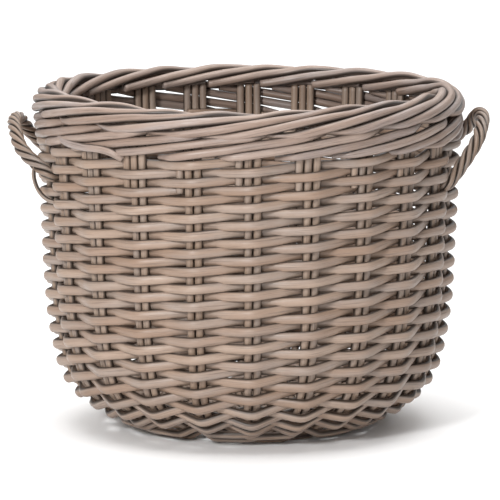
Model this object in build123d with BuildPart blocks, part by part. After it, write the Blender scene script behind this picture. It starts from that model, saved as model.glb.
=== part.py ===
from build123d import *
from dataclasses import dataclass
from math import ceil, cos, degrees, floor, hypot, pi, radians, sin, tan
import os

# A round cane log basket, rounded in to a small foot, with a rolled rim and two rope ears.
# Millimetres, +Z up, the front is -Y and the ears stand on the X axis.
# The origin is on the floor, under the middle of the basket.

# Whole basket
HEIGHT = 395.0
STAKE_COUNT = 22
STAKE_PHASE = -88.8  # degrees, where the first pair of stakes stands, just right of the front
SPACING = 360.0 / STAKE_COUNT

# Canes
STAKE_D = 9.6
WEAVER_D = 9.2
RIM_D = 9.8
STICK_D = 7.0
BASE_CANE_D = 5.0
CANE_GAP = 0.3
WEAVE_GAP = 0.5

# Side profile of the stakes' centre line: flat foot, heel, slope, corner, belly, straight wall
FLAT_R = 122.0
HEEL_R = 55.0
HEEL_END = 25.0
SLOPE = 29.0
CORNER_R = 74.0
CORNER_END = 76.0
BELLY_R = 470.0
WALL_ANGLE = 87.6
WORN = 0.35  # depth worn off the underside of the foot canes

# Weave
ROW_PITCH = 9.9
WEAVERS = 8
PLATEAU = 8.0  # half-width of the straight pass over a pair of stakes
EASE = 4.0  # length taken by the bend at each end of that pass
FOOT_START_R = 120.0
FOOT_PLATEAU = 9.7
FOOT_RODS = 3
FOOT_END = FOOT_START_R + FOOT_RODS * ROW_PITCH
SIDE_START = FOOT_END + ROW_PITCH
SIDE_TOP_Z = 329.0

# Stakes and the short stakes beside them
STAKE_INNER_R = 101.0
PAIR_OFFSET = (STAKE_D + CANE_GAP) / 2
BYE_FOOT_Z = 300.0

# Rim: side canes, from gap to gap in stakes, then canes wrapped round the stakes' tops
RIM_GAP = 0.8
RIM_INSET = 3.0  # from the wall in to the middle of the wrapped canes
STAKE_PROUD = 6.0  # stakes' ends above that middle
SIDE_CANE_START = -0.6
SIDE_CANE_PASSES = (-0.33, -0.02, 0.29, 0.6, 0.91, 1.2)
SIDE_CANE_END = 1.47
RIM_RISE = 10.4  # climb of a rim cane from one stake to the next
WRAP_R = 15.0
WRAP_STEP = 41.0  # degrees that a rim cane turns round the rim from one stake to the next
WRAP_START = -35.0
WRAP_END = 215.0
WRAP_PHASE = 0.75
WRAP_SAMPLE = 16.4  # degrees between points of a wrapped cane
RIM_FOOT_Z = 340.5

# Base
STICK_END_R = 114.0
STICK_OPEN_R = 60.0
SLATH_HALF = 26.0
BASE_START_R = 66.0
BASE_END_R = 103.0
BASE_PITCH = 6.0
BASE_WEAVERS = 2
BASE_PLATEAU = 3.0
BASE_EASE = 2.0

# Ears: reach from the axis, place along Y and height of the rope's centre line
EAR_CORE_D = 4.4
EAR_STRAND_D = 5.6
EAR_STRANDS = 5
EAR_LAY = 62.0  # length of one full twist
EAR_SAMPLES = 12  # points in one full twist
EAR_GAP = 0.35
EAR_ENTRY_Z = 302.0
EAR_TAIL = 9.0
EAR_STAND = 25.0
EAR_LIFT = 2.0
EAR_PITCH = (0.76, -0.65)  # across the plane that the ear's bow lies in
EAR_CROWN = [
    (258.0, -62.0, 327.0),
    (268.0, -32.0, 346.0),
    (271.0, 2.0, 354.0),
    (267.0, 36.0, 352.0),
    (257.0, 64.0, 334.0),
]

OFFSET = (STAKE_D + WEAVER_D) / 2 + WEAVE_GAP
FLAT_Z = OFFSET + WEAVER_D / 2 - WORN
STICK_LIFT = (STAKE_D + STICK_D) / 2 + CANE_GAP
RIM_Z = HEIGHT - RIM_D / 2 - WRAP_R
STAKE_TOP_Z = RIM_Z + STAKE_PROUD
BASE_TURN = STAKE_PHASE + 90.0


def profile_pieces():
    """The side profile as (start r, start z, start angle, turn, length) pieces, angles in degrees."""
    runs = [
        (0.0, FLAT_R),
        (HEEL_END, radians(HEEL_END) * HEEL_R),
        (0.0, SLOPE),
        (CORNER_END - HEEL_END, radians(CORNER_END - HEEL_END) * CORNER_R),
        (WALL_ANGLE - CORNER_END, radians(WALL_ANGLE - CORNER_END) * BELLY_R),
        (0.0, HEIGHT),
    ]
    r, z, angle = 0.0, FLAT_Z, 0.0
    pieces = []
    for turn, length in runs:
        pieces.append((r, z, angle, turn, length))
        r, z, angle = along(pieces[-1], length)
    return pieces


def along(piece, distance):
    """Radius, height and angle at a distance along one piece of the profile."""
    r, z, angle, turn, length = piece
    start = radians(angle)
    if turn == 0.0:
        return r + distance * cos(start), z + distance * sin(start), angle
    radius = length / radians(turn)
    end = start + distance / radius
    return (
        r + radius * (sin(end) - sin(start)),
        z + radius * (cos(start) - cos(end)),
        degrees(end),
    )


PROFILE = profile_pieces()


def on_profile(s):
    """Radius, height and angle of the profile at a distance s from the axis, along the profile."""
    for piece in PROFILE[:-1]:
        if s <= piece[4]:
            return along(piece, s)
        s -= piece[4]
    return along(PROFILE[-1], s)


def profile_length_at(height):
    """The distance along the profile at which the straight wall reaches a height."""
    lengths = [piece[4] for piece in PROFILE[:-1]]
    return sum(lengths) + (height - PROFILE[-1][1]) / sin(radians(WALL_ANGLE))


def polar(degrees_round, radius, height):
    """A point at an angle, radius and height."""
    turn = radians(degrees_round)
    return Vector(radius * cos(turn), radius * sin(turn), height)


def stake_angle(n):
    """Angle round the basket of stake pair n, which may be a fraction."""
    return STAKE_PHASE + n * SPACING


def woven_point(n, s, offset, sideways=0.0, lift=0.0):
    """A point beside stake n, at s on the profile, offset outward and sideways from the stakes."""
    r, z, angle = on_profile(s)
    lean = radians(angle)
    return polar(
        stake_angle(n) + degrees(sideways / r),
        r + offset * sin(lean),
        z + lift - offset * cos(lean),
    )


def eased_radii(points, ease):
    """A radius for each corner, so that a bend takes the ease, or less on short runs, off each run."""
    radii = []
    for before, corner, after in zip(points, points[1:], points[2:]):
        turn = radians((corner - before).get_angle(after - corner))
        runs = min((corner - before).length, (after - corner).length)
        radii.append(min(ease, 0.45 * runs) / tan(turn / 2))
    return radii


def cane(points, diameter, ease=HEIGHT):
    """Sweeps a round cane along straight runs joined by tangent arcs, in the part being built."""
    with BuildLine() as route:
        FilletPolyline(*points, radius=eased_radii(points, ease))
    section_plane = Plane(origin=route.line @ 0, z_dir=route.line % 0)
    with BuildSketch(section_plane) as section:
        Circle(diameter / 2)
    sweep(sections=section.sketch, path=route.line)


def write(part, name):
    """Labels a finished piece and writes it to its own file."""
    part.label = name
    export_step(part, f"parts/{name}.step")


BYE_FOOT_S = profile_length_at(BYE_FOOT_Z)
RIM_R = on_profile(profile_length_at(RIM_Z))[0] - RIM_INSET


# Stakes: 22 pairs of canes, from under the base, round the corner and up to the rim
def stake(n, sideways):
    """One upright cane of a pair, in its own radial plane."""
    turn = radians(stake_angle(n))
    plane = Plane(
        origin=(-sideways * sin(turn), sideways * cos(turn), 0),
        x_dir=(cos(turn), sin(turn), 0),
        z_dir=(sin(turn), -cos(turn), 0),
    )
    with BuildLine(plane) as route:
        foot = Line((STAKE_INNER_R, FLAT_Z), (FLAT_R, FLAT_Z))
        heel = JernArc(foot @ 1, foot % 1, HEEL_R, HEEL_END)
        slope = Line(heel @ 1, heel @ 1 + (heel % 1) * SLOPE)
        corner = JernArc(slope @ 1, slope % 1, CORNER_R, CORNER_END - HEEL_END)
        belly = JernArc(corner @ 1, corner % 1, BELLY_R, WALL_ANGLE - CORNER_END)
        rise = (STAKE_TOP_Z - PROFILE[-1][1]) / sin(radians(WALL_ANGLE))
        Line(belly @ 1, belly @ 1 + (belly % 1) * rise)
    with BuildSketch(Plane(origin=route.line @ 0, z_dir=route.line % 0)) as section:
        Circle(STAKE_D / 2)
    sweep(sections=section.sketch, path=route.line)


def build_stakes():
    for n in range(STAKE_COUNT):
        with BuildPart() as stake_pair:
            for side in (-1, 1):
                stake(n, side * PAIR_OFFSET)
        write(stake_pair.part, f"stake_pair_{n + 1:02d}")


def build_bye_stakes():
    """A short third cane on the left of every pair, from the rim a few rows down."""
    top_s = profile_length_at(STAKE_TOP_Z)
    with BuildPart() as bye_stakes:
        for n in range(STAKE_COUNT):
            foot = woven_point(n, BYE_FOOT_S, 0, -3 * PAIR_OFFSET)
            top = woven_point(n, top_s, 0, -3 * PAIR_OFFSET)
            with BuildSketch(Plane(origin=foot, z_dir=top - foot)):
                Circle(STAKE_D / 2)
            extrude(amount=(top - foot).length)
    write(bye_stakes.part, "bye_stakes")


# Weaving: canes that climb round the stakes, or run out over the base, as parallel spirals
@dataclass
class Weave:
    """Parallel spirals of cane, each outside its stakes except at every cycle-th one."""

    name: str
    canes: int
    start: float
    end: float
    pitch: float = ROW_PITCH
    cycle: int = 2
    diameter: float = WEAVER_D
    offset: float = OFFSET
    plateau: float = PLATEAU
    ease: float = EASE
    lift: float = 0.0
    worn: bool = False

    def s_at(self, i, n):
        """Place along the profile of cane i where it passes stake n."""
        return self.start + self.pitch * (i + self.canes * n / STAKE_COUNT)

    def inside(self, i, n):
        """Whether cane i passes stake n on the inside."""
        return (n + i) % self.cycle == 0

    def reach(self, i):
        """The first and last stakes of cane i, both passed on the inside."""
        rows = (self.end - self.start) / self.pitch
        first = ceil(-STAKE_COUNT * i / self.canes)
        last = floor(STAKE_COUNT * (rows - i) / self.canes)
        while not self.inside(i, first):
            first += 1
        while not self.inside(i, last):
            last -= 1
        return first, last

    def route(self, i):
        """Corner points of cane i: a straight pass over each stake, and a straight run between."""
        first, last = self.reach(i)
        points = []
        for n in range(first, last + 1):
            level = -self.offset if self.inside(i, n) else self.offset
            s = self.s_at(i, n)
            bye_stake = 2 * PAIR_OFFSET if s > BYE_FOOT_S - self.diameter else 0.0
            for sideways in (-self.plateau - bye_stake, self.plateau):
                here = self.s_at(i, n + sideways / spacing_at(s))
                points.append(woven_point(n, here, level, sideways, self.lift))
        return points


def spacing_at(s):
    """Distance from one stake pair to the next, round the basket."""
    return 2 * pi * on_profile(s)[0] / STAKE_COUNT


SIDE_WEAVE = Weave("side_weaver", WEAVERS, SIDE_START, profile_length_at(SIDE_TOP_Z))
FOOT_WEAVE = Weave(
    "foot_rod",
    FOOT_RODS,
    FOOT_START_R,
    FOOT_END,
    cycle=3,
    plateau=FOOT_PLATEAU,
    worn=True,
)
BASE_WEAVE = Weave(
    "base_weaver",
    BASE_WEAVERS,
    BASE_START_R,
    BASE_END_R,
    pitch=BASE_PITCH,
    diameter=BASE_CANE_D,
    offset=(STICK_D + BASE_CANE_D) / 2 + WEAVE_GAP,
    plateau=BASE_PLATEAU,
    ease=BASE_EASE,
    lift=STICK_LIFT,
)


def build_weave(weave):
    for i in range(weave.canes):
        with BuildPart() as weaver:
            cane(weave.route(i), weave.diameter, weave.ease)
            if weave.worn:
                split(bisect_by=Plane.XY, keep=Keep.TOP)
        write(weaver.part, f"{weave.name}_{i + 1}")


# Base: eleven sticks that cross in the middle and open out to one under each pair of stakes
def base_stick(angle, along_x, place):
    """One stick, straight where it crosses the others, then opened out to its two stakes."""
    level = FLAT_Z + STICK_LIFT
    crossing = level + (-1 if along_x else 1) * (STICK_D + CANE_GAP) / 2
    half = [
        polar(angle, STICK_END_R, level),
        polar(angle, STICK_OPEN_R, level),
        Vector(SLATH_HALF, place, crossing),
    ]
    other = [Vector(-point.X, point.Y, point.Z) for point in reversed(half)]
    whole = [*half, *other]
    if along_x:
        return whole
    return [Vector(-point.Y, point.X, point.Z) for point in whole]


def build_base_sticks():
    for along_x, count, name in ((True, 5, "lower"), (False, 6, "upper")):
        with BuildPart() as sticks:
            for k in range(count):
                place = k - (count - 1) / 2
                points = base_stick(place * SPACING, along_x, place * (STICK_D + CANE_GAP))
                turned = [point.rotate(Axis.Z, BASE_TURN) for point in points]
                cane(turned, STICK_D)
        write(sticks.part, f"base_sticks_{name}")


# Rim: canes laid up round the outside of the stakes, and canes wrapped up over their tops
def build_rim_side():
    """One cane from each gap: out past two pairs of stakes as it climbs, then in again."""
    out = (STAKE_D + RIM_D) / 2 + RIM_GAP
    passes = [(u, out) for u in SIDE_CANE_PASSES]
    route = [(SIDE_CANE_START, 0.0), *passes, (SIDE_CANE_END, 0.0)]
    with BuildPart() as rim_side:
        for n in range(STAKE_COUNT):
            points = []
            for u, offset in route:
                height = RIM_FOOT_Z + RIM_RISE * (u - SIDE_CANE_START)
                points.append(woven_point(n + u, profile_length_at(height), offset))
            cane(points, RIM_D)
    write(rim_side.part, "rim_side_canes")


def build_rim_crest():
    """One cane from each gap, wound up the outside, over the stakes and down the inside."""
    steps = round((WRAP_END - WRAP_START) / WRAP_SAMPLE)
    with BuildPart() as rim_crest:
        for n in range(STAKE_COUNT):
            points = []
            for k in range(steps + 1):
                wrap = (WRAP_END - WRAP_START) * k / steps
                tilt = radians(WRAP_START + wrap)
                angle = stake_angle(n + WRAP_PHASE + wrap / WRAP_STEP)
                points.append(polar(angle, RIM_R + WRAP_R * cos(tilt), RIM_Z + WRAP_R * sin(tilt)))
            cane(points, RIM_D)
    write(rim_crest.part, "rim_crest_canes")


# Ears: a core pushed down beside a stake at each end, with strands twisted round it outside
def entry_length(n, height):
    """Place along the profile, near a height, of a row that passes stake n on the inside."""
    at_stake = SIDE_START + ROW_PITCH * WEAVERS * n / STAKE_COUNT
    row = round((profile_length_at(height) - at_stake) / ROW_PITCH)
    if (row + n) % 2:
        row += 1
    return at_stake + ROW_PITCH * row


def ear_leg(n, side):
    """Points of the core from inside the weave beside stake n out to where the strands begin."""
    beside = PAIR_OFFSET + (STAKE_D + EAR_CORE_D) / 2 + CANE_GAP
    if side < 0:
        beside += 2 * PAIR_OFFSET
    s = entry_length(n, EAR_ENTRY_Z)
    return [
        woven_point(n, s - EAR_TAIL, 0, side * beside),
        woven_point(n, s, 0, side * beside),
        woven_point(n, s + EAR_LIFT, EAR_STAND, side * beside),
    ]


def build_ear(name, x_side, front, rear):
    """One ear: front and rear are the stakes it is fixed to, as (number, side)."""
    crown = [Vector(x_side * reach, y, z) for reach, y, z in EAR_CROWN]
    points = [*ear_leg(*front), *crown, *reversed(ear_leg(*rear))]
    with BuildPart() as core:
        cane(points, EAR_CORE_D)
    write(core.part, f"{name}_ear_core")

    with BuildLine():
        bow = FilletPolyline(*points, radius=eased_radii(points, HEIGHT))
    clear = EAR_STAND - EAR_STRAND_D
    length = bow.length
    samples = ceil(length / EAR_LAY * EAR_SAMPLES)
    inner_r = on_profile(profile_length_at(EAR_ENTRY_Z))[0] + clear
    places = [k / samples for k in range(samples + 1)]
    places = [t for t in places if hypot((bow @ t).X, (bow @ t).Y) > inner_r]
    across = Vector(x_side * EAR_PITCH[0], 0, EAR_PITCH[1]).normalized()
    twist_r = (EAR_CORE_D + EAR_STRAND_D) / 2 + EAR_GAP
    for strand in range(EAR_STRANDS):
        route = []
        for t in places:
            normal = (across - (bow % t) * across.dot(bow % t)).normalized()
            side_way = (bow % t).cross(normal)
            turn = 2 * pi * (t * length / EAR_LAY + strand / EAR_STRANDS)
            route.append((bow @ t) + normal * twist_r * cos(turn) + side_way * twist_r * sin(turn))
        with BuildPart() as twisted:
            cane(route, EAR_STRAND_D)
        write(twisted.part, f"{name}_ear_strand_{strand + 1}")


os.makedirs("parts", exist_ok=True)
build_stakes()
build_bye_stakes()
build_weave(FOOT_WEAVE)
build_weave(SIDE_WEAVE)
build_weave(BASE_WEAVE)
build_base_sticks()
build_rim_side()
build_rim_crest()
build_ear("left", -1, (-4, -1), (-7, 1))
build_ear("right", 1, (4, 1), (7, -1))
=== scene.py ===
from dataclasses import dataclass
from math import ceil, floor, hypot, pi, radians

import bpy
import numpy as np
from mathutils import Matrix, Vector


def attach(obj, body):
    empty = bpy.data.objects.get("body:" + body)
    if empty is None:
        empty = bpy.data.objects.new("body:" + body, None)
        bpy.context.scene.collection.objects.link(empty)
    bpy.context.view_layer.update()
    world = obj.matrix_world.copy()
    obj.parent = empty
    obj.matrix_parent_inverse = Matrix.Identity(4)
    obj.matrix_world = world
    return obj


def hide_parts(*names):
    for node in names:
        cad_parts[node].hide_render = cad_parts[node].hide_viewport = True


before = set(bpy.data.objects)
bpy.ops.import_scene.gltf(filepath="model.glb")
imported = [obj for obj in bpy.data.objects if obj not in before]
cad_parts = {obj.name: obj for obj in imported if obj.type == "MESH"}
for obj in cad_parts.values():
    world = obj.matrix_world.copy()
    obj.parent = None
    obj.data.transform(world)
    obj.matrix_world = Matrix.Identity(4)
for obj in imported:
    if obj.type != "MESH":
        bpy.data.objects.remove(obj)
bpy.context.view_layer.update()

# A round cane log basket. Lengths are in millimetres until a mesh is made, and angles in degrees,
# anticlockwise from above. The front is -Y. Stakes are numbered from the front, and a fraction
# such as 2.5 is a place between two stakes. Distances called s, and the starts and ends of the
# weaving, run along the side's profile from the middle of the base outward and up.
MM = 0.001
HEIGHT = 395.0
STAKES = 22
STAKE_PHASE = -88.8  # angle of stake 0
SPACING = 360.0 / STAKES
STAKE_RUN = 60.0  # rough length of a cane from one stake to the next

STAKE_D = 9.6
WEAVER_D = 9.2
RIM_D = 9.4
STICK_D = 7.0
BASE_CANE_D = 5.0
WEAVE_GAP = 0.5
PAIR_OFFSET = 4.95  # from the middle of a pair to each of its canes

# Every cane
SIDES = 12  # faces round a cane
RING_STEP = 4.2  # length of one ring of faces
FINE_STEP = 2.5  # the same on the strands of the ears
JOINT_SPACING = 230.0  # from one joint of the cane to the next
JOINT_HALF = 2.2  # half length of the ridge at a joint
JOINT_SWELL = 0.03  # share of the thickness that the ridge adds
UNEVEN = 0.03  # share by which the thickness wanders
UNEVEN_LENGTH = 190.0
END_BEVEL = 0.7  # how far an end face stands out
END_SHARE = 0.8  # an end face's size, as a share of the cane's
GRAIN_RANGE = 5000.0  # canes start at random places in a grain of this length
WAVES = ((0.6, 1.0), (0.3, 0.43), (0.2, 0.21))  # size and length, as shares, of a drift's waves

# The side's profile: the length of each straight or round stretch (a round one's angle times its
# radius), and the slope at the ends of the stretches
PROFILE_RUNS = [122.0, radians(25.0) * 55.0, 29.0, radians(51.0) * 74.0, radians(11.6) * 470.0, 400.0]
PROFILE_SLOPES = [0.0, 0.0, 25.0, 25.0, 76.0, 87.6, 87.6]
PROFILE_STEP = 0.25
WORN = 0.35  # wear under the foot
OFFSET = (STAKE_D + WEAVER_D) / 2 + WEAVE_GAP
FLAT_Z = OFFSET + WEAVER_D / 2 - WORN

# Side and foot
ROW_PITCH = 9.9
WEAVERS = 8
FOOT_RODS = 3
FOOT_ROWS = 4
FOOT_LAP = 0.2  # rows that the foot's canes share with the side's
FOOT_START = 120.0
FOOT_END = FOOT_START + (FOOT_ROWS + FOOT_LAP) * ROW_PITCH
SIDE_START = FOOT_START + FOOT_ROWS * ROW_PITCH
SIDE_TOP_Z = 341.0
BEND = 0.09  # how gently a weaver bends over its stakes, in stakes
POINTS_PER_STAKE = 20
WEAVER_TAIL = 0.1  # how far a weaver reaches past its last stakes, in stakes
LOW_SWELL = 1.25  # share of the swell in the lowest row
SWELL_DROP = 0.5  # how much less of it there is in the highest row
INSIDE_SWELL = 0.85  # share of the swell on the inside passes
FLATTENED = 0.95  # a weaver's depth, as a share of its diameter
ROW_SWAY = 0.4  # drift along the side
ROW_SWAY_LENGTH = 700.0
ROW_BOW = 0.2  # drift outward
ROW_BOW_LENGTH = 330.0

# Rim, lower tier: each cane comes out before its own stake, climbs in front of it and the next
# one, and goes in at the one after. Places and runs are in stakes from its own.
RIM_FOOT_Z = 338.0
RIM_RISE = 10.1  # climb from one stake to the next
RIM_RISE_FROM = -0.6  # where a cane is as high as RIM_FOOT_Z
RIM_OUT = -0.62
RIM_OUT_RUN = 0.3
RIM_IN = 2.44
RIM_IN_SPREAD = 0.1
RIM_IN_RUN = 0.7
RIM_TIP_DEPTH = 3.0  # how far the tips lie inside the stakes' middle
RIM_START_THIN = 0.45  # share of the thickness that the start lacks
RIM_START_THIN_RUN = 0.5
RIM_END_THIN = 0.3
RIM_END_THIN_RUN = 0.6
RIM_GAP = 0.8  # between the stakes and the canes in front of them
RIM_SIDE_EXTRA = (0.1, 0.6)  # range of what is added to a cane's half width
RIM_SIDE_SWAY = 0.9
RIM_SIDE_SWAY_LENGTH = 260.0
RIM_SIDE_BOW = 0.6
RIM_SIDE_BOW_LENGTH = 200.0
LOOSE_END_LESS = 0.3  # what is taken from its half width
LOOSE_END = (  # stake, height and distance out of a cane end that hangs below the rim
    (-3.9, 352.0, 7.0),
    (-3.5, 346.0, 13.5),
    (-3.0, 344.0, 15.5),
    (-2.6, 344.0, 15.5),
    (-2.38, 341.5, 15.0),
    (-2.25, 335.0, 8.0),
)

# Rim, upper tier: canes that wrap the rim's core. Places and runs on them are in degrees of wrap,
# which is 0 outside and 90 on top.
WRAP_R = 15.0
WRAP_STEP = 41.0  # wrap from one stake to the next
WRAP_LEAD = 30.0  # the part of a cane that is tucked in under the rim
WRAP_START = -25.0
WRAP_END = 185.0
WRAP_PHASE = 0.48  # in stakes, from a cane's own stake to where its wrap starts
WRAP_SPREAD = 0.1  # in stakes, either way
WRAP_RUN = 1.7  # rough length of cane for one degree of wrap
CREST_INSET = 3.0  # how far the rim's core stands inside the stakes' middle
START_TUCK = 13.0  # how much nearer to the rim's core a cane starts
START_TUCK_RUN = 42.0
END_TUCK = 4.0
END_TUCK_RUN = 40.0
CREST_THIN = 0.5  # share of the thickness that the start lacks
CREST_THIN_FROM = 8.0
CREST_THIN_RUN = 34.0
CREST_ARCH = 2.6  # rise of each cane where it turns over the crest
CREST_ARCH_AT = 103.0
CREST_ARCH_HALF = 17.0
CREST_HOLLOW = 0.6 * CREST_ARCH  # dip of each cane just before that
CREST_HOLLOW_AT = 66.0
CREST_HOLLOW_HALF = 18.0
CREST_EXTRA = (0.0, 0.6)  # range of what is added to a cane's half width
CREST_SWAY = 0.9
CREST_SWAY_LENGTH = 240.0
RIM_DIP = 7.0  # how far the rim sags at the front
RIM_DIP_AT = -97.0
RIM_DIP_HALF = 36.0
RIM_Z = HEIGHT - RIM_D / 2 - WRAP_R

# Stakes
STAKE_TOP_Z = RIM_Z - 2.0
STAKE_INNER_S = 101.0
STAKE_STEP = 3.0
STAKE_GAP = 0.1  # what is added to PAIR_OFFSET
STAKE_SWAY = 0.25  # drift along the weaving
STAKE_SWAY_LENGTH = 300.0
STAKE_BOW = 0.2  # drift outward
STAKE_BOW_LENGTH = 260.0
BYE_FOOT_Z = 300.0  # about where the third canes, the bye-stakes, start
BYE_FOOT_SHIFT = (-4.0, 10.0)  # range of how much higher each of them starts
BYE_FOOT_RUN = 60.0

# Base
STICK_GAP = 0.3
STICK_LIFT = (STAKE_D + STICK_D) / 2 + STICK_GAP
STICK_PITCH = STICK_D + STICK_GAP
STICK_END_R = 114.0
STICK_OPEN_R = 60.0  # where the sticks have spread out
SLATH_HALF = 26.0  # half the square where the sticks cross
LOWER_STICKS = 5
UPPER_STICKS = 6
BASE_WEAVERS = 2
BASE_START = 42.0
BASE_END = 114.0
BASE_PITCH = 6.0

# Ears
EAR_CORE_D = 4.4
EAR_STRAND_D = 5.6
EAR_STRANDS = 5
EAR_LAY = 84.0  # length of rope for one turn of a strand, which lies like the stroke in an S
EAR_STEP = 1.5
EAR_LEG_GAP = 0.3
EAR_ROPE_GAP = 0.2
EAR_STRAND_EXTRA = 0.1  # what is added to a strand's half width
EAR_PINCH = 0.55  # the rope's radius at its ends, as a share
EAR_PINCH_RUN = 22.0
EAR_ACROSS = (0.76, -0.65)  # outward and up, roughly square to the plane of the bow
EAR_LEG = ((-2.0, -4.0), (13.0, 4.0))  # outward and upward from the row where the core goes in
EAR_CROWN = (  # distance out along X, then Y and Z, of the bow between its legs
    (258.0, -62.0, 327.0),
    (268.0, -32.0, 346.0),
    (271.0, 2.0, 354.0),
    (267.0, 36.0, 352.0),
    (257.0, 64.0, 334.0),
)
EAR_TAIL_FROM = 24  # ring of the bow at which the tail leaves the rope
EAR_TAIL_ASIDE = 9.0  # from the stake's middle to where the rope goes in
EAR_TAIL_LESS = 0.3  # what is taken from its half width
EAR_TAIL = (  # sideways, up and out from where the rope goes in
    (-20.0, 2.0, 27.0),
    (-17.0, -14.0, 24.0),
    (-9.0, -26.0, 16.0),
    (4.0, -32.0, 1.0),
)
# Where the front and the rear end of each ear go in: stake, side of the stake and height
LEFT_ENDS = ((-4, -1, 302.0), (-7, 1, 302.0))
RIGHT_ENDS = ((4, 1, 290.0), (7, -1, 302.0))
RIGHT_LIFT = 5.0

# Points that are worked out along a cane
SHORT_CANE_POINTS = 80
CREST_POINTS = 110
STICK_POINTS = 60
BOW_POINTS = 400

rng = np.random.default_rng(11)


# ---------------------------------------------------------------- the basket's surface

profile_s = np.arange(0.0, sum(PROFILE_RUNS), PROFILE_STEP)
knots = np.concatenate([[0.0], np.cumsum(PROFILE_RUNS)])
profile_angle = np.radians(np.interp(profile_s, knots, PROFILE_SLOPES))
rising = profile_s > PROFILE_RUNS[0]


def running_sum(values, start):
    """The integral of values along the profile, from a start value."""
    steps = (values[1:] + values[:-1]) / 2 * np.diff(profile_s)
    return start + np.concatenate([[0.0], np.cumsum(steps)])


profile_r = running_sum(np.cos(profile_angle), 0.0)
profile_z = running_sum(np.sin(profile_angle), FLAT_Z)


def s_at_height(height):
    """Distance along the profile at which the side reaches a height."""
    return float(np.interp(height, profile_z[rising], profile_s[rising]))


def radius_at(s):
    return np.interp(s, profile_s, profile_r)


def surface(n, s, offset=0.0, sideways=0.0, lift=0.0):
    """Points beside stake n, and the outward directions there."""
    values = [np.asarray(v, float) for v in (n, s, offset, sideways)]
    n, s, offset, sideways = np.broadcast_arrays(*values)
    r = radius_at(s)
    slope = np.interp(s, profile_s, profile_angle)
    angle = np.radians(STAKE_PHASE + n * SPACING) + sideways / r
    out_r = np.sin(slope)
    out_z = -np.cos(slope)
    reach = r + offset * out_r
    height = np.interp(s, profile_s, profile_z) + lift + offset * out_z
    points = np.stack([reach * np.cos(angle), reach * np.sin(angle), height], -1)
    outward = np.stack([out_r * np.cos(angle), out_r * np.sin(angle), out_z], -1)
    return points, outward


def smooth(x):
    """Rises smoothly from 0 to 1 as x goes from 0 to 1."""
    x = np.clip(x, 0.0, 1.0)
    return x * x * (3 - 2 * x)


def fade(distance, run):
    """Falls smoothly from 1 to 0 over a run."""
    return 1 - smooth(distance / run)


def hump(x, half):
    """1 where x is 0, falling away on both sides of it."""
    return np.exp(-((x / half) ** 2))


def wander(length, size, wavelength):
    """A gentle random drift along a cane: a few sine waves of mixed lengths."""
    total = np.zeros_like(length)
    for share, stretch in WAVES:
        phase = rng.uniform(0, 2 * pi)
        total += share * np.sin(2 * pi * length / (wavelength * stretch) + phase)
    return size * total


def curve_through(points, count):
    """A smooth curve through a few points (Catmull-Rom)."""
    p = np.asarray(points, float)
    p = np.concatenate([[2 * p[0] - p[1]], p, [2 * p[-1] - p[-2]]])
    t = np.linspace(0, len(p) - 3 - 1e-6, count)
    k = t.astype(int)
    f = (t - k)[:, None]
    a, b, c, d = p[k], p[k + 1], p[k + 2], p[k + 3]
    square = 2 * a - 5 * b + 4 * c - d
    cube = 3 * b - a - 3 * c + d
    return 0.5 * (2 * b + (c - a) * f + square * f**2 + cube * f**3)


# ---------------------------------------------------------------- cane meshes

def unit(vectors):
    return vectors / np.maximum(np.linalg.norm(vectors, axis=-1, keepdims=True), 1e-9)


def even(points, *others, step=RING_STEP):
    """Distances along points at even steps, then the points and what goes with them there."""
    gaps = np.linalg.norm(np.diff(points, axis=0), axis=1)
    length = np.concatenate([[0.0], np.cumsum(gaps)])
    marks = np.linspace(0, length[-1], max(3, int(length[-1] / step) + 1))
    resampled = [marks]
    for values in (points, *others):
        table = np.asarray(values, float).reshape(len(points), -1)
        columns = [np.interp(marks, length, column) for column in table.T]
        resampled.append(np.stack(columns, -1) if len(columns) > 1 else columns[0])
    return resampled


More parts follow.
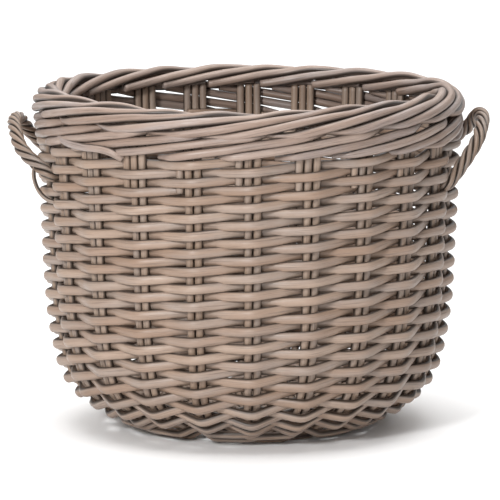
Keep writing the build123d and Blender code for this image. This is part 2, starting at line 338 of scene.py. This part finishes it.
class Canes:
    """Collects canes into one mesh, with the grain's own coordinates on every point."""

    def __init__(self):
        self.points = []
        self.faces = []
        self.grain = []
        self.tint = []
        self.edge_shade = []
        self.count = 0

    def add(self, points, outward, half_width, half_depth=None, step=RING_STEP):
        """One cane along points; half_width is measured across the outward direction."""
        half_depth = half_width if half_depth is None else half_depth
        width = np.broadcast_to(half_width, len(points))
        depth = np.broadcast_to(half_depth, len(points))
        along, points, outward, width, depth = even(points, outward, width, depth, step=step)
        direction = unit(np.gradient(points, axis=0))
        across = unit(np.cross(direction, outward))
        outward = unit(np.cross(across, direction))

        start = rng.uniform(0, JOINT_SPACING)
        past = (along + start) % JOINT_SPACING
        joint = hump(np.minimum(past, JOINT_SPACING - past), JOINT_HALF)
        swell = 1 + JOINT_SWELL * joint + wander(along, UNEVEN, UNEVEN_LENGTH)
        width = width * swell
        depth = depth * swell

        around = np.arange(SIDES) * 2 * pi / SIDES
        rings = (
            points[:, None]
            + (depth[:, None] * np.cos(around))[..., None] * outward[:, None]
            + (width[:, None] * np.sin(around))[..., None] * across[:, None]
        )
        first = points[0] + (rings[0] - points[0]) * END_SHARE - direction[0] * END_BEVEL
        last = points[-1] + (rings[-1] - points[-1]) * END_SHARE + direction[-1] * END_BEVEL
        rings = np.concatenate([first[None], rings, last[None]])
        along = np.concatenate([[along[0] - END_BEVEL], along, [along[-1] + END_BEVEL]])
        self.add_faces(len(rings))
        self.points.append(rings.reshape(-1, 3))
        self.add_grain(along, around, float(np.mean(width)))

    def add_faces(self, rows):
        """Quads between the next rows of points, and a face at each end."""
        index = np.arange(rows * SIDES).reshape(rows, SIDES) + self.count
        turned = np.roll(index, -1, 1)
        quads = np.stack([index[:-1], turned[:-1], turned[1:], index[1:]], -1)
        self.faces += quads.reshape(-1, 4).tolist()
        self.faces += [index[0][::-1].tolist(), index[-1].tolist()]
        self.count += rows * SIDES

    def add_grain(self, along, around, radius):
        """Each point's place in the grain, the cane's tint and nearness to the cane's sides, where
        shade is painted.
        """
        rows = len(along)
        grain_s = np.repeat(along + rng.uniform(0, GRAIN_RANGE), SIDES)
        grain_out = np.tile(radius * np.cos(around), rows)
        grain_across = np.tile(radius * np.sin(around), rows)
        self.grain.append(np.stack([grain_s, grain_out, grain_across], -1))
        self.tint.append(np.full(rows * SIDES, rng.uniform(0, 1)))
        self.edge_shade.append(np.tile(np.abs(np.sin(around)), rows))

    def build(self, name, material, slot, nodes):
        """Makes the mesh, which stands for the CAD nodes."""
        mesh = bpy.data.meshes.new(name)
        points = np.concatenate(self.points) * MM
        mesh.from_pydata(points.tolist(), [], self.faces)
        for key, kind, field, values in (
            ("grain", "FLOAT_VECTOR", "vector", np.concatenate(self.grain) * MM),
            ("tint", "FLOAT", "value", np.concatenate(self.tint)),
            ("edge_shade", "FLOAT", "value", np.concatenate(self.edge_shade)),
        ):
            data = mesh.attributes.new(key, kind, "POINT").data
            data.foreach_set(field, values.astype(np.float32).ravel())
        mesh.polygons.foreach_set("use_smooth", [len(f) == 4 for f in self.faces])
        mesh.materials.append(material)
        mesh.update()
        piece = bpy.data.objects.new(name, mesh)
        bpy.context.scene.collection.objects.link(piece)
        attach(piece, "root")
        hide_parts(*nodes)


# ---------------------------------------------------------------- cane material

# Length and width in metres of the features along a cane, then detail and roughness of the noise
FIBRES = (0.045, 0.0009, 3.0, 0.6)
MOTTLE = (0.028, 0.006, 4.0, 0.55)
PATCHES = (0.16, 0.02, 2.0, 0.5)

# Levels between which a colour comes in, and how much of it there is from the second level on
TINT_BROWN = (0.0, 1.0, 1.0)
PATCH_GREY = (0.42, 0.62, 0.75)
MOTTLE_BROWN = (0.35, 0.7, 0.55)
FIBRE_DARK = (0.52, 0.72, 0.75)
# The levels on the next line paint shade along each cane's sides, where canes meet and shade falls
EDGE_SHADE = (0.75, 0.97, 1.0)
DARK = 0.42  # dark fibres, as a share of the brown
# Colour of the painted shade at the cane's sides, as a share of the brown
SHADE_DARK = 0.14

# The skin
ROUGH_MOTTLE = (0.3, 0.7)  # mottle levels where the skin is smoothest and roughest
SMOOTHER = 0.07
ROUGHER = 0.12
SPECULAR = 0.45
BUMP_STRENGTH = 0.35
BUMP_DEPTH = 0.0004


def cane_material(name, roughness, pale, brown, grey):
    """Washed round cane: long fibres, mottled colour, painted shade along each cane's sides where canes
    meet, and a satin skin.
    """
    material = bpy.data.materials.new(name)
    material.use_nodes = True
    nodes = material.node_tree.nodes
    links = material.node_tree.links
    nodes.clear()

    def add(kind, **values):
        node = nodes.new(kind)
        for key, value in values.items():
            setattr(node, key, value)
        return node

    def attribute(key, output):
        return add("ShaderNodeAttribute", attribute_name=key).outputs[output]

    def noise(length, width, detail, rough):
        """Noise in the cane's own coordinates."""
        stretch = add("ShaderNodeVectorMath", operation="MULTIPLY")
        links.new(attribute("grain", "Vector"), stretch.inputs[0])
        stretch.inputs[1].default_value = (1 / length, 1 / width, 1 / width)
        texture = add("ShaderNodeTexNoise")
        links.new(stretch.outputs[0], texture.inputs["Vector"])
        texture.inputs["Scale"].default_value = 1.0
        texture.inputs["Detail"].default_value = detail
        texture.inputs["Roughness"].default_value = rough
        return texture.outputs["Fac"]

    def remap(value, low, high, out_low, out_high):
        node = add("ShaderNodeMapRange")
        links.new(value, node.inputs["Value"])
        node.inputs["From Min"].default_value = low
        node.inputs["From Max"].default_value = high
        node.inputs["To Min"].default_value = out_low
        node.inputs["To Max"].default_value = out_high
        return node.outputs["Result"]

    def lay_over(colour, other, value, low, high, most):
        """Mixes another colour in: none of it where value is low, the most where it is high."""
        node = add("ShaderNodeMix", data_type="RGBA")
        links.new(remap(value, low, high, 0.0, most), node.inputs["Factor"])
        if isinstance(colour, tuple):
            node.inputs["A"].default_value = (*colour, 1.0)
        else:
            links.new(colour, node.inputs["A"])
        node.inputs["B"].default_value = (*other, 1.0)
        return node.outputs["Result"]

    fibres = noise(*FIBRES)
    mottle = noise(*MOTTLE)
    patches = noise(*PATCHES)
    dark = tuple(DARK * c for c in brown)
    painted_shade = tuple(SHADE_DARK * c for c in brown)
    colour = lay_over(pale, brown, attribute("tint", "Fac"), *TINT_BROWN)
    colour = lay_over(colour, grey, patches, *PATCH_GREY)
    colour = lay_over(colour, brown, mottle, *MOTTLE_BROWN)
    colour = lay_over(colour, dark, fibres, *FIBRE_DARK)
    # Painted shade: each cane's sides are darkened where it meets its neighbours
    colour = lay_over(colour, painted_shade, attribute("edge_shade", "Fac"), *EDGE_SHADE)

    shader = add("ShaderNodeBsdfPrincipled")
    links.new(colour, shader.inputs["Base Color"])
    rough = remap(mottle, *ROUGH_MOTTLE, roughness - SMOOTHER, roughness + ROUGHER)
    links.new(rough, shader.inputs["Roughness"])
    shader.inputs["Specular IOR Level"].default_value = SPECULAR
    bump = add("ShaderNodeBump")
    bump.inputs["Strength"].default_value = BUMP_STRENGTH
    bump.inputs["Distance"].default_value = BUMP_DEPTH
    links.new(fibres, bump.inputs["Height"])
    links.new(bump.outputs["Normal"], shader.inputs["Normal"])
    output = add("ShaderNodeOutputMaterial")
    links.new(shader.outputs["BSDF"], output.inputs["Surface"])
    return material


WEAVING = cane_material(
    "weaving_cane", 0.42, pale=(0.33, 0.245, 0.19), brown=(0.25, 0.168, 0.12), grey=(0.265, 0.218, 0.19)
)
STAKE = cane_material(
    "stake_cane", 0.45, pale=(0.34, 0.25, 0.19), brown=(0.25, 0.17, 0.12), grey=(0.27, 0.22, 0.19)
)
RIM = cane_material(
    "rim_cane", 0.40, pale=(0.315, 0.24, 0.2), brown=(0.228, 0.158, 0.122), grey=(0.255, 0.217, 0.205)
)
EAR = cane_material(
    "ear_cane", 0.45, pale=(0.25, 0.185, 0.142), brown=(0.18, 0.122, 0.087), grey=(0.2, 0.163, 0.142)
)
BASE = cane_material(
    "base_cane", 0.5, pale=(0.29, 0.212, 0.158), brown=(0.205, 0.138, 0.095), grey=(0.225, 0.185, 0.158)
)


# ---------------------------------------------------------------- stakes

def build_stakes():
    s = np.arange(STAKE_INNER_S, s_at_height(STAKE_TOP_Z), STAKE_STEP)
    for n in range(STAKES):
        canes = Canes()
        for side in (-1, 1):
            sideways = side * (PAIR_OFFSET + STAKE_GAP) + wander(s, STAKE_SWAY, STAKE_SWAY_LENGTH)
            out = wander(s, STAKE_BOW, STAKE_BOW_LENGTH)
            points, outward = surface(n, s, out, sideways)
            canes.add(points, outward, STAKE_D / 2)
        name = f"stake_pair_{n + 1:02d}"
        canes.build(f"cane_{name}", STAKE, "stake_cane", [name])


def build_bye_stakes():
    """A third cane beside each pair, which starts at a different height on each."""
    s = np.arange(s_at_height(BYE_FOOT_Z), s_at_height(STAKE_TOP_Z), STAKE_STEP)
    sideways = -3 * PAIR_OFFSET - 2 * STAKE_GAP
    canes = Canes()
    for n in range(STAKES):
        shifted = s + rng.uniform(*BYE_FOOT_SHIFT) * fade(s - s[0], BYE_FOOT_RUN)
        points, outward = surface(n, shifted, 0.0, sideways)
        canes.add(points, outward, STAKE_D / 2)
    canes.build("cane_bye_stakes", STAKE, "stake_cane", ["bye_stakes"])


# ---------------------------------------------------------------- weaving

@dataclass
class Weave:
    """Parallel spirals of cane, each outside its stakes except at every cycle-th one."""

    name: str
    canes: int
    start: float
    end: float
    material: bpy.types.Material
    slot: str
    pitch: float = ROW_PITCH
    cycle: int = 2
    diameter: float = WEAVER_D
    offset: float = OFFSET
    lift: float = 0.0
    swell: float = 1.32  # what is added to the half width
    slant: float = 0.6  # extra climb of each outside pass
    shallow: float = 0.32  # share by which the inside passes lie closer to the stakes

    def inside(self, i, n):
        return (n + i) % self.cycle == 0

    def reach(self, i):
        """The first and last stakes of cane i, both passed on the inside."""
        rows = (self.end - self.start) / self.pitch
        first = ceil(-STAKES * i / self.canes)
        last = floor(STAKES * (rows - i) / self.canes)
        while not self.inside(i, first):
            first += 1
        while not self.inside(i, last):
            last -= 1
        return first, last

    def weave_in(self, i, n, first, last):
        """Level of cane i at places n, -1 inside and 1 outside, and the lean of its passes."""
        stakes = np.arange(first - 1, last + 2)
        side = np.where([self.inside(i, k) for k in stakes], -1.0, 1.0)
        away = n - np.round(n)
        nearest = np.clip(np.round(n).astype(int) - stakes[0], 0, len(stakes) - 1)
        beyond = np.clip(nearest + np.sign(away).astype(int), 0, len(stakes) - 1)
        here = side[nearest]
        there = side[beyond]
        bend = np.hypot(away, BEND)
        wave = 1 - (bend - BEND) / (hypot(0.5, BEND) - BEND)
        level = np.where(here == there, here, here * wave)
        lean = np.where(here == there, 0.0, here * np.sin(pi * away))
        return level, lean

    def build(self):
        half = self.diameter / 2
        for i in range(self.canes):
            first, last = self.reach(i)
            n = np.linspace(first - WEAVER_TAIL, last + WEAVER_TAIL, (last - first) * POINTS_PER_STAKE)
            level, lean = self.weave_in(i, n, first, last)
            s = self.start + self.pitch * (i + self.canes * n / STAKES)
            s = s + self.slant * lean + wander(n * STAKE_RUN, ROW_SWAY, ROW_SWAY_LENGTH)
            inner = 1 - (1 - level) * self.shallow / 2
            out = self.offset * level * inner + wander(n * STAKE_RUN, ROW_BOW, ROW_BOW_LENGTH)
            points, outward = surface(n, s, out, 0.0, self.lift)
            climbed = (s - self.start) / (self.end - self.start)
            swell = self.swell * (LOW_SWELL - SWELL_DROP * climbed)
            swell = swell * (INSIDE_SWELL + (1 - INSIDE_SWELL) * smooth(0.5 + 0.5 * level))
            canes = Canes()
            canes.add(points, outward, half + swell, half * FLATTENED)
            node = f"{self.name}_{i + 1}"
            canes.build(f"cane_{node}", self.material, self.slot, [node])


# ---------------------------------------------------------------- rim

def build_rim_side():
    reach = (STAKE_D + RIM_D) / 2 + RIM_GAP
    canes = Canes()
    for n in range(STAKES):
        u = np.linspace(RIM_OUT, RIM_IN + rng.uniform(0, RIM_IN_SPREAD), SHORT_CANE_POINTS)
        begun = u - u[0]
        left = u[-1] - u
        level = smooth(begun / RIM_OUT_RUN) * smooth(left / RIM_IN_RUN)
        taper = 1 - RIM_START_THIN * fade(begun, RIM_START_THIN_RUN)
        taper = taper - RIM_END_THIN * fade(left, RIM_END_THIN_RUN)
        s = s_at_height(RIM_FOOT_Z) + RIM_RISE * (u - RIM_RISE_FROM)
        s = s + wander(u * STAKE_RUN, RIM_SIDE_SWAY, RIM_SIDE_SWAY_LENGTH)
        out = reach * level - RIM_TIP_DEPTH * (1 - level)
        out = out + wander(u * STAKE_RUN, RIM_SIDE_BOW, RIM_SIDE_BOW_LENGTH)
        points, outward = surface(n + u, s, out)
        canes.add(points, outward, (RIM_D / 2 + rng.uniform(*RIM_SIDE_EXTRA)) * taper)
    ends = [surface(n, s_at_height(height), out)[0] for n, height, out in LOOSE_END]
    bent = curve_through(ends, SHORT_CANE_POINTS)
    canes.add(bent, unit(bent * (1, 1, 0)), RIM_D / 2 - LOOSE_END_LESS)
    canes.build("cane_rim_side", RIM, "rim_cane", ["rim_side_canes"])


def rim_dip(turn):
    """How far the crest lies below its full height, at angles in radians round the basket."""
    away = (np.degrees(turn) - RIM_DIP_AT + 180.0) % 360.0 - 180.0
    return RIM_DIP * hump(away, RIM_DIP_HALF)


def build_rim_crest():
    rim_r = radius_at(s_at_height(RIM_Z)) - CREST_INSET
    wrap = np.linspace(WRAP_START - WRAP_LEAD, WRAP_END, CREST_POINTS)
    tilt = np.radians(wrap)
    begun = wrap - wrap[0]
    tuck = START_TUCK * fade(begun, START_TUCK_RUN) + END_TUCK * fade(WRAP_END - wrap, END_TUCK_RUN)
    arch = CREST_ARCH * hump(wrap - CREST_ARCH_AT, CREST_ARCH_HALF)
    arch = arch - CREST_HOLLOW * hump(wrap - CREST_HOLLOW_AT, CREST_HOLLOW_HALF)
    taper = 1 - CREST_THIN * fade(begun - CREST_THIN_FROM, CREST_THIN_RUN)
    canes = Canes()
    for n in range(STAKES):
        place = n + rng.uniform(-WRAP_SPREAD, WRAP_SPREAD) + WRAP_PHASE
        turn = np.radians(STAKE_PHASE + SPACING * (place + (wrap - WRAP_START) / WRAP_STEP))
        radius = WRAP_R - tuck + arch + wander(wrap * WRAP_RUN, CREST_SWAY, CREST_SWAY_LENGTH)
        reach = rim_r + radius * np.cos(tilt)
        height = RIM_Z + radius * np.sin(tilt) - rim_dip(turn)
        points = np.stack([reach * np.cos(turn), reach * np.sin(turn), height], -1)
        outward = [np.cos(tilt) * np.cos(turn), np.cos(tilt) * np.sin(turn), np.sin(tilt)]
        half = RIM_D / 2 + rng.uniform(*CREST_EXTRA)
        canes.add(points, np.stack(outward, -1), half * taper)
    canes.build("cane_rim_crest", RIM, "rim_cane", ["rim_crest_canes"])


# ---------------------------------------------------------------- base

def stick(place, above):
    """One base stick along X, straight where it crosses the others and spread towards its ends."""
    x = np.linspace(0, STICK_END_R, STICK_POINTS)
    spread = smooth((x - SLATH_HALF) / (STICK_OPEN_R - SLATH_HALF))
    y = place * STICK_PITCH * (1 - spread) + np.tan(radians(place * SPACING)) * x * spread
    z = FLAT_Z + STICK_LIFT + above * STICK_PITCH / 2 * (1 - spread)
    half = np.stack([x, y, z], -1)[np.hypot(x, y) <= STICK_END_R]
    return np.concatenate([half[:0:-1] * (-1, 1, 1), half])


def build_base_sticks():
    """Sticks along X pass under the ones along Y, and the whole cross is turned to the stakes."""
    turn = radians(STAKE_PHASE + 90.0)
    for name, count, above in (("lower", LOWER_STICKS, -1), ("upper", UPPER_STICKS, 1)):
        canes = Canes()
        for k in range(count):
            x, y, z = stick(k - (count - 1) / 2, above).T
            if above > 0:
                x, y = -y, x
            turned = [x * np.cos(turn) - y * np.sin(turn), x * np.sin(turn) + y * np.cos(turn), z]
            canes.add(np.stack(turned, -1), np.tile([0.0, 0.0, 1.0], (len(x), 1)), STICK_D / 2)
        canes.build(f"cane_base_sticks_{name}", BASE, "base_cane", [f"base_sticks_{name}"])


# ---------------------------------------------------------------- ears

def entry_s(n, height):
    """Place on the side, near a height, of a row that passes stake n on the inside."""
    at_stake = SIDE_START + ROW_PITCH * WEAVERS * n / STAKES
    row = round((s_at_height(height) - at_stake) / ROW_PITCH)
    return at_stake + ROW_PITCH * (row + (row + n) % 2)


def ear_leg(n, side, height):
    """The end of the core, which goes in on one side of stake n."""
    beside = PAIR_OFFSET + (STAKE_D + EAR_CORE_D) / 2 + EAR_LEG_GAP
    if side < 0:
        beside += 2 * PAIR_OFFSET  # the third cane stands on this side
    s = entry_s(n, height)
    return [surface(n, s + climb, offset, side * beside)[0] for offset, climb in EAR_LEG]


def ear_tail(n, side, height, leaves):
    """A strand's end, which leaves the rope near its foot and goes into the weave lower down."""
    s = entry_s(n, height)
    points = [leaves]
    for sideways, climb, out in EAR_TAIL:
        points.append(surface(n, s + climb, out, side * EAR_TAIL_ASIDE + sideways)[0])
    tail = curve_through(points, SHORT_CANE_POINTS)
    canes = Canes()
    canes.add(tail, unit(tail * (1, 1, 0)), EAR_STRAND_D / 2 - EAR_TAIL_LESS, step=FINE_STEP)
    return canes


def build_ear(name, x_side, front, rear, lift, tail):
    """A rope bow, which goes in at front and rear."""
    crown = [(x_side * reach, y, z + lift) for reach, y, z in EAR_CROWN]
    bow = curve_through([*ear_leg(*front), *crown, *reversed(ear_leg(*rear))], BOW_POINTS)
    along, bow = even(bow, step=EAR_STEP)
    direction = unit(np.gradient(bow, axis=0))
    out, up = EAR_ACROSS
    across = unit(np.array([x_side * out, 0.0, up]))
    normal = unit(across - direction * np.sum(across * direction, 1)[:, None])
    other = np.cross(direction, normal)
    core = ear_tail(*front, bow[EAR_TAIL_FROM]) if tail else Canes()
    core.add(bow, normal, EAR_CORE_D / 2)
    core.build(f"cane_{name}_ear_core", EAR, "ear_cane", [f"{name}_ear_core"])

    full = smooth(along / EAR_PINCH_RUN) * smooth((along[-1] - along) / EAR_PINCH_RUN)
    pinch = EAR_PINCH + (1 - EAR_PINCH) * full
    rope_r = (EAR_CORE_D + EAR_STRAND_D) / 2 * pinch + EAR_ROPE_GAP
    half = EAR_STRAND_D / 2 + EAR_STRAND_EXTRA
    for strand in range(EAR_STRANDS):
        turn = -2 * pi * (along / EAR_LAY + strand / EAR_STRANDS)
        ray = normal * np.cos(turn)[:, None] + other * np.sin(turn)[:, None]
        twisted = Canes()
        twisted.add(bow + ray * rope_r[:, None], ray, half, step=FINE_STEP)
        node = f"{name}_ear_strand_{strand + 1}"
        twisted.build(f"cane_{node}", EAR, "ear_cane", [node])


# ---------------------------------------------------------------- the whole basket

build_stakes()
build_bye_stakes()
Weave("side_weaver", WEAVERS, SIDE_START, s_at_height(SIDE_TOP_Z), WEAVING, "weaving_cane").build()
Weave(
    "foot_rod", FOOT_RODS, FOOT_START, FOOT_END, WEAVING, "weaving_cane",
    cycle=3, swell=0.9, slant=0.0,
).build()
Weave(
    "base_weaver", BASE_WEAVERS, BASE_START, BASE_END, BASE, "base_cane",
    pitch=BASE_PITCH, diameter=BASE_CANE_D, offset=(STICK_D + BASE_CANE_D) / 2 + WEAVE_GAP,
    lift=STICK_LIFT, swell=0.3, slant=0.0,
).build()
build_base_sticks()
build_rim_side()
build_rim_crest()
build_ear("left", -1, *LEFT_ENDS, lift=0.0, tail=True)
build_ear("right", 1, *RIGHT_ENDS, lift=RIGHT_LIFT, tail=False)


# ---------------------------------------------------------------- floor, light and camera

# These are in metres and watts.
FLOOR_HALF = 12.0
FLOOR_COLOUR = (0.93, 0.93, 0.93)
FLOOR_ROUGHNESS = 0.8

AMBIENT = 0.32  # light from all round
MIDDLE = (0.0, 0.0, 0.2)
LIGHTS = (  # name, place, target, size and power
    ("key", (-1.5, -3.0, 1.6), MIDDLE, (0.6, 0.6), 90.0),
    ("front", (-0.7, -4.2, 0.9), MIDDLE, (1.0, 1.0), 26.0),
    ("top", (0.0, -0.4, 2.8), MIDDLE, (2.0, 2.0), 68.0),
    ("rear_left", (-2.6, 2.0, 1.4), MIDDLE, (1.4, 1.4), 6.0),
    ("rear_right", (2.6, 2.0, 1.4), MIDDLE, (1.4, 1.4), 5.0),
    ("floor_behind", (0.0, 5.0, 4.5), (0.0, 5.0, 0.0), (9.0, 8.0), 430.0),
)

CAMERA_BACK = 4.2
CAMERA_HEIGHT = 0.838
CAMERA_ASIDE = 0.0017
AIM_HEIGHT = 0.2023
LENS = 262.6  # in millimetres, for a sensor 36 mm wide


def build_floor():
    material = bpy.data.materials.new("floor")
    material.use_nodes = True
    shader = material.node_tree.nodes["Principled BSDF"]
    shader.inputs["Base Color"].default_value = (*FLOOR_COLOUR, 1.0)
    shader.inputs["Roughness"].default_value = FLOOR_ROUGHNESS
    mesh = bpy.data.meshes.new("floor")
    corners = [(FLOOR_HALF * x, FLOOR_HALF * y, 0) for x, y in ((-1, -1), (1, -1), (1, 1), (-1, 1))]
    mesh.from_pydata(corners, [], [(0, 1, 2, 3)])
    mesh.materials.append(material)
    floor = bpy.data.objects.new("floor", mesh)
    bpy.context.scene.collection.objects.link(floor)


def build_world():
    """A white world, which is dimmer as a light than as a backdrop."""
    world = bpy.data.worlds.new("studio")
    world.use_nodes = True
    nodes = world.node_tree.nodes
    links = world.node_tree.links
    sky = nodes["Background"]
    sky.inputs["Color"].default_value = (1.0, 1.0, 1.0, 1.0)
    seen = nodes.new("ShaderNodeLightPath").outputs["Is Camera Ray"]
    strength = nodes.new("ShaderNodeMapRange")
    links.new(seen, strength.inputs["Value"])
    strength.inputs["To Min"].default_value = AMBIENT
    strength.inputs["To Max"].default_value = 1.0
    links.new(strength.outputs["Result"], sky.inputs["Strength"])
    bpy.context.scene.world = world


def stand(thing, place, target):
    """Puts a lamp or camera at a place, looking at a target."""
    thing.location = place
    thing.rotation_euler = (Vector(target) - Vector(place)).to_track_quat("-Z", "Y").to_euler()
    bpy.context.scene.collection.objects.link(thing)


def build_light(name, place, target, size, power):
    data = bpy.data.lights.new(name, "AREA")
    data.shape = "RECTANGLE"
    data.size, data.size_y = size
    data.energy = power
    stand(bpy.data.objects.new(name, data), place, target)


def build_camera():
    data = bpy.data.cameras.new("camera")
    data.sensor_width = 36.0
    data.lens = LENS
    data.clip_end = 100.0
    camera = bpy.data.objects.new("camera", data)
    stand(camera, (CAMERA_ASIDE, -CAMERA_BACK, CAMERA_HEIGHT), (CAMERA_ASIDE, 0.0, AIM_HEIGHT))
    bpy.context.scene.camera = camera


build_floor()
build_world()
for light in LIGHTS:
    build_light(*light)
build_camera()
bpy.context.scene.view_settings.view_transform = "Standard"
